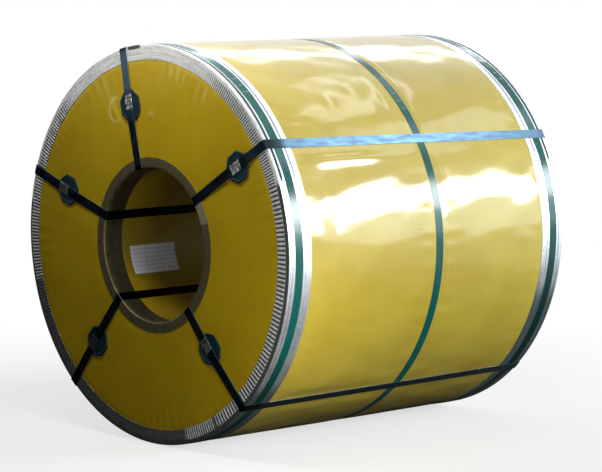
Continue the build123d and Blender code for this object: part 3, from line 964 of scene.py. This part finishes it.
class COIL_OT_rim_protectors(bpy.types.Operator):
    """Builds the two galvanised rim protectors with their crimped flanges"""

    bl_idname = "steel_coil.rim_protectors"
    bl_label = "Rim protectors"

    # Points over the bend, over the flange and along one crimp
    bend_count, flange_count, crimp_count = 5, 8, 7

    def execute(self, context):
        sizes = context.scene.coil_protectors
        profile = self.section(sizes)
        groove, bend, flange, band = self.shaded_parts(len(profile))
        for name, end in ENDS.items():
            turn, phase = self.crimp_stations(RIM_LAPS[name], CRIMP_PITCHES[name])
            lift = sizes.lap_lift * self.lap_rise(turn, RIM_LAPS[name])
            out = profile[None, :, 0] + lift * profile[None, :, 2]
            radius = profile[None, :, 1] + lift * profile[None, :, 3]
            flat = mesh_of(f"{name}_flat_rim", [Shell(round_axis(end * out, radius, turn))], 50.0)
            # Painted shade along stretches of the grooves, the bend, the flange and the band, stored for the finish
            painted_shade = 0.0
            fades = (HARD_FADE, HARD_FADE, HARD_FADE, SOFT_FADE)
            for stretches, fade, part in zip(RIM_SHADE[name], fades, (groove, bend, flange, band)):
                painted_shade = np.maximum(painted_shade, along_stretches(turn, stretches, fade) * part)
            around = np.ones((1, len(profile)))
            store_values(flat, "rim_shade", painted_shade)
            store_values(flat, "band_shine", np.ones_like(turn) * band)
            store_values(flat, "crimp_phase", phase * around)
            store_values(flat, "crimp_depth", (1 - along_stretches(turn, FLAT_CRIMPS[name], FLAT_FADE)) * around)
            mesh = run_tree(
                f"{name.title()}_Rim_Protector",
                flat,
                crimp_tree(),
                {
                    "Crimp Height": sizes.crimp_height,
                    "Crimp Spread": sizes.crimp_spread,
                    "Flange Root": sizes.rim_radius - sizes.bend,
                    "Flange Edge": sizes.rim_flange_edge,
                    "Axis Height": context.scene.coil_sizes.axis_height,
                    "Outwards": float(end),
                    "Seed": 3 + end,
                    "Finish": finish("Galvanised_steel_crimped_sheet", galvanised_sheet),
                },
            )
            place_piece(mesh.name, mesh, [], "galvanised_sheet", f"{name}_rim_protector")
        return {"FINISHED"}

    def section(self, sizes):
        """The protector's closed section: rolled band, bend and flange, each point with its outward normal."""
        root_out, root_radius = sizes.flange_face - sizes.bend, sizes.rim_radius - sizes.bend
        outer = [(sizes.flange_face - inset, sizes.rim_radius + rise, 0, 1) for inset, rise in self.rolls()]
        inner = [(sizes.flange_face - sizes.rim_band, sizes.rim_radius - sizes.sheet, 0, 1)]
        skins = (outer, 0.0, self.bend_count, self.flange_count), (inner, sizes.sheet, 2, 2)
        for skin, depth, bend_count, flange_count in skins:
            skin += corner(root_out, root_radius, sizes.bend - depth, 90, 0, bend_count)
            flange = np.linspace(root_radius, sizes.rim_flange_edge, flange_count)[1:]
            skin += [(sizes.flange_face - depth, radius, 1, 0) for radius in flange]
        return np.array(outer + inner[::-1])

    def rolls(self):
        return np.array(RIM_ROLLS) / 1000

    def shaded_parts(self, count):
        """Which of the section's points belong to the rolled grooves, the bend, the flange and the band, for painted
        shade.
        """
        groove, bend, flange, band = np.zeros((4, count))
        start = len(RIM_ROLLS)
        stop = start + self.bend_count
        groove[:start] = np.clip(-self.rolls()[:, 1] / 0.0005, 0.0, 1.0)
        bend[start + 1 : stop + 1] = 1.0
        flange[start + 1 : stop + self.flange_count - 1] = 1.0
        band[: start + 2] = 1.0
        return groove, bend, flange, band

    def lap_rise(self, turn, laps):
        """Rises from 0 to 1 where the end of one length climbs onto the next."""
        rise = 0.0
        for lap in laps:
            before = (np.degrees(turn) - lap + 180) % 360 - 180
            rise = rise + np.where(before <= 0, 1.0, 0.0) * smooth_step(-6.0, -4.0, before)
        return rise

    def crimp_stations(self, laps, pitches):
        """Angles round a rim protector and the crimps' running phase there, length by length between its laps."""
        radius = bpy.context.scene.coil_protectors.rim_flange_edge
        turns, phases, done = [], [], 0
        for start, stop, pitch in zip(laps, (*laps[1:], laps[0] + 360), pitches):
            arc = math.radians(stop - start)
            crimps = round(arc * radius / pitch)
            share = np.linspace(0, 1, crimps * self.crimp_count, endpoint=False)
            turns.append(math.radians(start) + arc * share)
            phases.append(TURN * (done + crimps * share))
            done += crimps
        return np.concatenate(turns)[:, None], np.concatenate(phases)[:, None]


class COIL_OT_bore_protectors(bpy.types.Operator):
    """Builds the two dull protectors round the bore's edges, each closed by a lapped joint"""

    bl_idname = "steel_coil.bore_protectors"
    bl_label = "Bore protectors"

    # How far a joint piece's flange reaches past the protector's own
    joint_reach = 0.003

    def execute(self, context):
        sizes = context.scene.coil_protectors
        tint = context.scene.coil_finishes
        root_out, root_radius = sizes.flange_face - sizes.bend, sizes.throat_radius + sizes.bend
        skins = []
        for depth in (0.0, sizes.sheet):
            radius, face = sizes.throat_radius + depth, sizes.flange_face - depth
            band = np.linspace(sizes.flange_face - sizes.bore_band, root_out, 5)[:-1]
            skin = [(out, radius, 0, -1) for out in band]
            skin += corner(root_out, root_radius, sizes.bend - depth, -90, 0, 5)
            skin += [(face, r, 1, 0) for r in np.linspace(root_radius, sizes.bore_flange_edge, 6)[1:]]
            skins.append(skin)
        profile = np.array(skins[0] + skins[1][::-1])
        flange_share = np.clip((profile[:, 1] - root_radius) / (sizes.bore_flange_edge - root_radius), 0, 1)
        on_band = profile[:, 0] < root_out - 0.001
        finishes = [
            finish("Galvanised_steel_weathered_sheet", weathered_zinc, tint.zinc_dull, tint.zinc_bloom),
            finish("Galvanised_steel_fresh_sheet", weathered_zinc, tint.zinc_fresh, tint.fresh_bloom),
        ]
        turn = full_circle(900)
        for name, end in ENDS.items():
            ring = Shell(round_axis(end * profile[None, :, 0], profile[None, :, 1], turn))
            joint = np.radians(np.linspace(*BORE_JOINTS[name], 48))[:, None]
            out = profile[:, 0] + sizes.lap_lift * profile[:, 2]
            radius = profile[:, 1] + sizes.lap_lift * profile[:, 3] + self.joint_reach * flange_share
            patch = Shell(round_axis(end * out, radius, joint), closed=False, finish=1)
            piece = f"{name.title()}_Bore_Protector"
            mesh = mesh_of(piece, [ring, patch], 50.0)
            # The band inside the bore is marked for painted shade
            store_values(mesh, "bore_shade", np.tile(on_band, len(turn)))
            place_piece(piece, mesh, finishes, "dull_galvanised_sheet", f"{name}_bore_protector")
        return {"FINISHED"}


def strap_section(width, thickness, edge):
    """A strap's section with its edges rounded: (across, up) about its middle."""
    w, t = width / 2, thickness / 2
    quarter = [(w - edge, t), (w, t - edge)]
    right = quarter + [(a, -b) for a, b in quarter[::-1]]
    return np.array(right + [(-a, b) for a, b in right[::-1]])


class COIL_OT_hoop_straps(bpy.types.Operator):
    """Builds the three green hoop straps, each with its lap and its punched joint"""

    bl_idname = "steel_coil.hoop_straps"
    bl_label = "Hoop straps"

    # Where along the lap the joint's keys were punched, and half their breadth, half their length and their rise
    key_shares = (0.22, 0.5, 0.78)
    key_breadth, key_length, key_rise = 0.0030, 0.011, 0.0007

    def execute(self, context):
        protectors = context.scene.coil_protectors
        straps = context.scene.coil_straps
        tint = context.scene.coil_finishes
        inset = protectors.flange_face - straps.hoop_inset
        places = {
            "near": (-inset, protectors.rim_radius),
            "middle": (straps.middle_shift, context.scene.coil_sizes.wrap_radius),
            "far": (inset, protectors.rim_radius),
        }
        finishes = [
            finish("Green_stoved_paint_steel_strapping", stoved_paint, tint.hoop_green, tint.hoop_rubbed),
            finish("Green_stoved_paint_rubbed", stoved_paint, tint.hoop_rubbed, tint.hoop_rubbed),
        ]
        section = strap_section(straps.width, straps.hoop_thickness, straps.edge)
        for name, (x, seat) in places.items():
            start = math.radians(HOOP_LAPS[name])
            lap = straps.hoop_lap / (seat + straps.hoop_thickness)
            turn = np.concatenate([np.linspace(0, TURN - 0.06, 400), np.linspace(TURN - 0.05, TURN + lap, 40)])
            lift = straps.hoop_thickness * smooth_step(TURN - 0.04, TURN - 0.003, turn)
            middle = seat + straps.hoop_thickness / 2 + lift
            rings = round_axis(
                x + section[None, :, 0], middle[:, None] + section[None, :, 1], (start + turn)[:, None]
            )
            top = seat + 2 * straps.hoop_thickness
            keys = [self.punched_key(x, top, start + lap * share) for share in self.key_shares]
            piece = f"{name.title()}_Hoop_Strap"
            mesh = mesh_of(piece, [Shell(rings, closed=False), *keys])
            # Painted shade along the hoops' lower stretches, stored for the finish
            painted_shade = along_stretches(start + turn, HOOP_SHADE[name], SOFT_FADE)
            store_values(mesh, "painted_shade", np.repeat(painted_shade, len(section)))
            place_piece(piece, mesh, finishes, "hoop_strap", f"{name}_hoop_strap")
        return {"FINISHED"}

    def punched_key(self, x, top, angle):
        """A key that the joint's punch raised across the strap: a low rubbed ridge, open on one side."""
        foot = -0.0003
        rings = []
        for share in np.linspace(-1, 1, 9):
            taper = math.sqrt(max(1 - share**2, 0.02))
            half, rise = self.key_breadth * taper, self.key_rise * taper
            arc = np.array([-half, -0.5 * half, 0.35 * half, half])
            up = np.array([foot, rise * 0.4, rise, foot])
            rings.append(round_axis(x + self.key_length * share, top + up, angle + arc / top))
        return Shell(np.array(rings), closed=False, finish=1)


class COIL_OT_eye_straps(bpy.types.Operator):
    """Builds the five blued straps that run through the bore"""

    bl_idname = "steel_coil.eye_straps"
    bl_label = "Eye straps"

    # Radii with which a strap eases over its rim flange and over its pad, and the longest step along it
    flange_ease, pad_ease, longest_step = 0.02, 0.03, 0.03

    def execute(self, context):
        straps = context.scene.coil_straps
        throat, rim = context.scene.coil_protectors.throat_radius, context.scene.coil_protectors.rim_radius
        section = strap_section(straps.width, straps.eye_thickness, straps.edge)
        for place in EYE_STRAPS:
            route = self.route(context.scene, PADS[place][1])
            x, radius = route[:, 0], route[:, 1]
            ahead = np.roll(route, -1, 0) - np.roll(route, 1, 0)
            ahead = ahead / np.linalg.norm(ahead, axis=1)[:, None]
            outward = np.stack([-ahead[:, 1], ahead[:, 0]], 1)
            if np.sum(outward * (route - route.mean(0)), 1).mean() < 0:
                outward = -outward
            turn = self.wander(place, route)
            side = np.stack([np.zeros_like(turn), -np.sin(turn), np.cos(turn)], -1)
            points = [
                round_axis(x + up * outward[:, 0], radius + up * outward[:, 1], turn) + across * side
                for across, up in section
            ]
            piece = f"{place.title()}_Eye_Strap"
            mesh = mesh_of(piece, [Shell(np.stack(points, 1))])
            # Painted shade on the strap over the near rim's bend and in the bore, stored for its finish
            at_rim = smooth_step(0.535, 0.575, -x) * (radius > rim - 0.010)
            whole = np.maximum(at_rim, radius < throat + 0.006)
            store_values(mesh, "lacquer_and_shade", np.repeat(whole, len(section)))
            lacquer_and_shade = finish("Blued_steel_strapping_lacquered", blued_strap)
            place_piece(piece, mesh, [lacquer_and_shade], "eye_strap", f"{place}_eye_strap")
        return {"FINISHED"}

    def route(self, scene, pad_radius):
        """A strap's closed middle line as (place along the axis, distance from it): out over rim, pad and bore."""
        protectors, straps, fittings = scene.coil_protectors, scene.coil_straps, scene.coil_fittings
        lift, half_pad = straps.eye_thickness / 2, fittings.pad_length / 2
        face = protectors.flange_face + lift
        crest = protectors.flange_face + protectors.crimp_height + lift
        on_pad = scene.coil_sizes.disc_face + fittings.pad_thickness + lift
        over = protectors.rim_radius + straps.hoop_thickness + lift
        seat = math.sqrt(protectors.throat_radius**2 - (straps.width / 2) ** 2) - lift
        rim_edge, bore_edge = protectors.rim_flange_edge, protectors.bore_flange_edge
        bend = straps.eye_bend + lift
        # Each corner and the radius that rounds it
        corners = (
            (-crest, over, bend),
            (-crest, rim_edge, self.flange_ease),
            (-on_pad, pad_radius + half_pad, self.pad_ease),
            (-on_pad, pad_radius - half_pad, self.pad_ease),
            (-face, bore_edge, self.flange_ease),
            (-face, seat, bend),
            (face, seat, bend),
            (face, bore_edge, 0),
            (crest, rim_edge, 0),
            (crest, over, bend),
        )
        rounded = round_corners([c[:2] for c in corners], [c[2] for c in corners], 6)
        finer = []
        for here, there in zip(rounded, np.roll(rounded, -1, 0)):
            count = max(1, math.ceil(np.linalg.norm(there - here) / self.longest_step))
            finer += [here + (there - here) * k / count for k in range(count)]
        return np.array(finer)

    def wander(self, place, route):
        """The strap's angle along its route: straight over each end, level in the bore, skewed along the outside."""
        x, radius = route[:, 0], route[:, 1]
        protectors = bpy.context.scene.coil_protectors
        turn = np.empty_like(x)
        for end in ENDS.values():
            direction, beside = face_line(place, end)
            turn = np.where(x * end > 0, direction + np.arcsin(beside / radius), turn)
        turn = np.where(radius > protectors.rim_radius - 0.003, strap_line(place, x), turn)
        in_bore = math.radians(EYE_STRAPS[place][0])
        return np.where(radius < protectors.throat_radius + 0.002, in_bore, turn)


class COIL_OT_pads(bpy.types.Operator):
    """Builds the five moulded pads under the seals"""

    bl_idname = "steel_coil.pads"
    bl_label = "Pads"

    def execute(self, context):
        thick = context.scene.coil_fittings.pad_thickness
        # Each ring of the pad: how far in from its outline, and how high
        rings = (
            (0.0008, 0.0),
            (0.0, 0.0008),
            (0.0, thick - 0.0018),
            (0.0006, thick - 0.0006),
            (0.0018, thick),
            (0.0075, thick),
            (0.0090, thick - 0.0004),
            (0.0105, thick - 0.0014),
            (0.0300, thick - 0.0014),
        )
        for place, (degrees, radius, shift) in PADS.items():
            loops = []
            for inset, height in rings:
                across, outward = self.octagon(inset).T
                loops.append(on_near_end(math.radians(degrees), shift + across, radius + outward, height))
            piece = f"{place.title()}_Pad"
            mesh = mesh_of(piece, [Shell(np.array(loops), closed=False)], 30.0)
            plastic = finish("Polyethylene_moulded_pad", moulded_pad)
            place_piece(piece, mesh, [plastic], "pad_plastic", f"{place}_pad")
        return {"FINISHED"}

    def octagon(self, inset):
        """The pad's outline set in by a distance, with each cut corner rounded."""
        sizes = bpy.context.scene.coil_fittings
        w, h = sizes.pad_width / 2 - inset, sizes.pad_length / 2 - inset
        c = max(sizes.pad_corner - inset * (2 - math.sqrt(2)), 0.004)
        right = [(w, -h + c), (w, h - c), (w - c, h)]
        points = right + [(-w + c, h), (-w, h - c), (-w, -h + c), (-w + c, -h), (w - c, -h)]
        return round_corners(points, [sizes.pad_round] * len(points), 6)


class COIL_OT_seals(bpy.types.Operator):
    """Builds the five crimped seals that close the eye straps"""

    bl_idname = "steel_coil.seals"
    bl_label = "Seals"

    # Where along the seal its notches were pinched and how far each spreads, and the rounding of its long edges
    notch_shares, notch_spread, edge = (-0.25, 0.25), 0.0034, 0.0006

    def execute(self, context):
        sizes = context.scene.coil_fittings
        straps = context.scene.coil_straps
        half, tall = straps.width / 2 + sizes.seal_wall, straps.eye_thickness + sizes.seal_wall
        along = np.linspace(-0.5, 0.5, 49) * sizes.seal_length
        notches = [share * sizes.seal_length for share in self.notch_shares]
        pinch = sum(np.exp(-(((along - notch) / self.notch_spread) ** 2)) for notch in notches)
        ends = smooth_step(0.0, 0.0015, sizes.seal_length / 2 - np.abs(along))
        for place, (shift, seal_shade) in SEALS.items():
            angle, beside = face_line(place, NEAR)
            seat = math.sqrt((PADS[place][1] + shift) ** 2 - beside**2)
            loops = []
            for v, squeeze, whole in zip(along, pinch, ends):
                side = half - sizes.seal_notch * squeeze
                top = tall * (0.8 + 0.2 * whole) - 0.0007 * squeeze
                low, crown, inner = top - self.edge, top - 0.0004 * squeeze, side - self.edge
                across = np.array([-side, -side, -inner, -0.5 * side, 0, 0.5 * side, inner, side, side])
                up = np.array([0.0, low, top, crown, crown, crown, top, low, 0.0])
                loops.append(on_near_end(angle, beside + across, seat + v, sizes.pad_thickness + up))
            piece = f"{place.title()}_Seal"
            mesh = mesh_of(piece, [Shell(np.array(loops), closed=False)], 35.0)
            store_values(mesh, "seal_shade", np.full(len(mesh.vertices), seal_shade))
            zinc = finish("Zinc_plated_steel_pressed", pressed_seal)
            place_piece(piece, mesh, [zinc], "seal_steel", f"{place}_seal")
        return {"FINISHED"}


class COIL_OT_bore_label(bpy.types.Operator):
    """Builds the paper label on the wall of the bore, its free corners curling a little"""

    bl_idname = "steel_coil.bore_label"
    bl_label = "Bore label"

    # Points along the label and round it, and its gap to the liner
    long_count, round_count, gap = 25, 15, 0.00005

    def execute(self, context):
        sizes = context.scene.coil_fittings
        radius = context.scene.coil_sizes.liner_radius
        start = -context.scene.coil_protectors.flange_face + sizes.label_inset
        x = start + np.linspace(0, sizes.label_length, self.long_count)[:, None]
        arc = np.linspace(-0.5, 0.5, self.round_count)[None, :] * sizes.label_height / radius
        angle = math.radians(LABEL_ANGLE) + arc
        along = np.abs(np.linspace(-1, 1, self.long_count))[:, None]
        across = np.abs(np.linspace(-1, 1, self.round_count))[None, :]
        curl = sizes.label_lift * smooth_step(0.55, 1.0, along) * smooth_step(0.2, 1.0, across)
        back = radius - self.gap - curl
        front = round_axis(x, back - sizes.label_sheet, angle)
        loops = np.concatenate([front, round_axis(x, back[:, ::-1], angle[:, ::-1])], 1)
        mesh = mesh_of("Bore_Label", [Shell(loops, closed=False)])
        paper = finish("Uncoated_paper_ruled_label", ruled_paper)
        place_piece("Bore_Label", mesh, [paper], "label_paper", "bore_label")
        return {"FINISHED"}


def seen_directly(tree):
    """1 for rays that show a thing itself: straight to the camera, mirrored or through glass. Else 0."""
    path = add_node(tree, "ShaderNodeLightPath").outputs
    seen = path["Is Camera Ray"]
    for kind in ("Is Glossy Ray", "Is Transmission Ray"):
        seen = add_node(tree, "ShaderNodeMath", {0: seen, 1: path[kind]}, operation="MAXIMUM").outputs[0]
    return seen


class COIL_OT_stage(bpy.types.Operator):
    """Sets the pale floor, the soft studio light and the camera"""

    bl_idname = "steel_coil.stage"
    bl_label = "Stage"

    def execute(self, context):
        settings = context.scene.coil_stage
        self.lay_floor(settings)
        self.light_world(settings)
        for name, lamp in LAMPS.items():
            self.hang_lamp(name, *lamp)
        self.stand_flag()
        self.set_camera(settings)
        context.scene.view_settings.view_transform = "Standard"
        return {"FINISHED"}

    def stage_piece(self, name, points, faces, finish_name):
        """A piece of the stage, with the empty node tree of its finish."""
        mesh = bpy.data.meshes.new(name)
        mesh.from_pydata(points, [], faces)
        piece = bpy.data.objects.new(name, mesh)
        bpy.context.scene.collection.objects.link(piece)
        made = bpy.data.materials.new(finish_name)
        made.use_nodes = True
        made.node_tree.nodes.clear()
        mesh.materials.append(made)
        return piece, made.node_tree

    def show_white(self, tree, share, matt):
        """Ends a stage finish: a matt colour that turns to plain white by a share."""
        dull = add_node(tree, "ShaderNodeBsdfDiffuse", {"Color": matt})
        white = add_node(tree, "ShaderNodeEmission", {"Color": (1, 1, 1, 1), "Strength": 1.0})
        mixed = add_node(tree, "ShaderNodeMixShader", {0: share, 1: dull.outputs[0], 2: white.outputs[0]})
        add_node(tree, "ShaderNodeOutputMaterial", {"Surface": mixed.outputs[0]})

    def lay_floor(self, settings):
        half, depth = settings.floor_size / 2, -0.0005
        corners = [(-half, -half, depth), (half, -half, depth), (half, half, depth), (-half, half, depth)]
        _, tree = self.stage_piece("Floor", corners, [(0, 1, 2, 3)], "Pale_studio_floor")
        # White to the eye far off, and shaded by its light near the coil, where the shadow falls
        place = add_node(tree, "ShaderNodeTexCoord").outputs["Object"]
        away = add_node(tree, "ShaderNodeVectorMath", {0: place}, operation="LENGTH").outputs["Value"]
        camera = add_node(tree, "ShaderNodeLightPath").outputs["Is Camera Ray"]
        near = add_node(tree, "ShaderNodeMath", {0: camera, 1: 0.68}, operation="MULTIPLY").outputs[0]
        edge = add_node(tree, "ShaderNodeMath", {0: camera, 1: -1.0, 2: 3.6}, operation="MULTIPLY_ADD").outputs[0]
        far = add_node(tree, "ShaderNodeMapRange", {0: away, 1: 1.2, 2: edge, 3: near, 4: 1.0}).outputs[0]
        share = add_node(tree, "ShaderNodeMath", {0: far, 1: seen_directly(tree)}, operation="MULTIPLY").outputs[0]
        shade = blend(tree, camera, 0.0, 1.0, 1.0, "#444444", "#f2f2f2")
        self.show_white(tree, share, shade)

    def light_world(self, settings):
        world = bpy.data.worlds.new("Studio")
        bpy.context.scene.world = world
        world.use_nodes = True
        tree = world.node_tree
        tree.nodes.clear()
        dim, white = (
            add_node(tree, "ShaderNodeBackground", {"Color": (1, 1, 1, 1), "Strength": strength}).outputs[0]
            for strength in (settings.fill, 1.0)
        )
        mixed = add_node(tree, "ShaderNodeMixShader", {0: seen_directly(tree), 1: dim, 2: white})
        add_node(tree, "ShaderNodeOutputWorld", {"Surface": mixed.outputs[0]})

    def stand_flag(self):
        """A dark studio flag out of the picture, with a foot on the floor, which keeps the near end in the shade."""
        middle, half, tall, foot = Vector((-1.98, 1.47, 0.002)), 1.3, 1.75, 1.6
        along, towards = Vector((0.735, 0.676, 0.0)), Vector((0.676, -0.735, 0.0))
        feet = [middle - along * half, middle + along * half]
        tops = [low + Vector((0, 0, tall)) for low in reversed(feet)]
        toes = [low + towards * foot for low in reversed(feet)]
        faces = [(0, 1, 2, 3), (0, 1, 4, 5)]
        flag, tree = self.stage_piece("Flag", [*feet, *tops, *toes], faces, "Black_studio_felt")
        flag.visible_camera = flag.visible_shadow = flag.visible_diffuse = False
        # Its upper part lets some of the white through
        place = add_node(tree, "ShaderNodeTexCoord").outputs["Object"]
        height = add_node(tree, "ShaderNodeSeparateXYZ", {0: place}).outputs[2]
        clear = add_node(tree, "ShaderNodeMapRange", {0: height, 1: 0.95, 2: 1.30, 3: 0.0, 4: 0.5}).outputs[0]
        self.show_white(tree, clear, rgba("#141414"))

    def hang_lamp(self, name, place, aim, breadth, height, power, tint):
        lamp = bpy.data.lights.new(name, "AREA")
        lamp.shape = "RECTANGLE"
        lamp.size, lamp.size_y, lamp.energy, lamp.color = breadth, height, power, linear(tint)
        hung = bpy.data.objects.new(name, lamp)
        bpy.context.scene.collection.objects.link(hung)
        hung.location = place
        hung.visible_camera = False
        hung.visible_diffuse = name not in REFLECTED_LAMPS
        hung.rotation_euler = (Vector(aim) - Vector(place)).to_track_quat("-Z", "Y").to_euler()

    def set_camera(self, settings):
        lens = bpy.data.cameras.new("Camera")
        lens.lens, lens.sensor_width, lens.clip_end = settings.lens, 36.0, 400.0
        camera = bpy.data.objects.new("Camera", lens)
        bpy.context.scene.collection.objects.link(camera)
        turn, rise = math.radians(settings.azimuth), math.radians(settings.elevation)
        back = Vector((math.sin(turn) * math.cos(rise), -math.cos(turn) * math.cos(rise), math.sin(rise)))
        camera.location = Vector(settings.aim) + back * settings.distance
        camera.rotation_euler = (-back).to_track_quat("-Z", "Y").to_euler()
        bpy.context.scene.camera = camera


OPERATORS = (
    COIL_OT_wound_strip,
    COIL_OT_packing_sheet,
    COIL_OT_rim_protectors,
    COIL_OT_bore_protectors,
    COIL_OT_hoop_straps,
    COIL_OT_eye_straps,
    COIL_OT_pads,
    COIL_OT_seals,
    COIL_OT_bore_label,
    COIL_OT_stage,
)
SETTINGS = {
    "coil_sizes": CoilSizes,
    "coil_waves": SheetWaves,
    "coil_protectors": ProtectorSizes,
    "coil_straps": StrapSizes,
    "coil_fittings": FittingSizes,
    "coil_finishes": Finishes,
    "coil_stage": StageSettings,
}


class COIL_PT_packing(bpy.types.Panel):
    """Lists the coil's pieces and its sizes"""

    bl_idname = "COIL_PT_packing"
    bl_label = "Packed steel coil"
    bl_space_type = "VIEW_3D"
    bl_region_type = "UI"
    bl_category = "Steel coil"

    def draw(self, context):
        column = self.layout.column()
        for operator in OPERATORS:
            column.operator(operator.bl_idname)
        for name in SETTINGS:
            group = getattr(context.scene, name)
            box = column.box()
            for key in group.bl_rna.properties.keys():
                if key not in ("rna_type", "name"):
                    box.prop(group, key)


def register():
    for name, group in SETTINGS.items():
        bpy.utils.register_class(group)
        setattr(bpy.types.Scene, name, PointerProperty(type=group))
    for operator in OPERATORS:
        bpy.utils.register_class(operator)
    bpy.utils.register_class(COIL_PT_packing)


def unregister():
    bpy.utils.unregister_class(COIL_PT_packing)
    for operator in reversed(OPERATORS):
        bpy.utils.unregister_class(operator)
    for name, group in SETTINGS.items():
        delattr(bpy.types.Scene, name)
        bpy.utils.unregister_class(group)


def main():
    register()
    for operator in OPERATORS:
        family, name = operator.bl_idname.split(".")
        getattr(getattr(bpy.ops, family), name)()


if __name__ == "__main__":
    main()
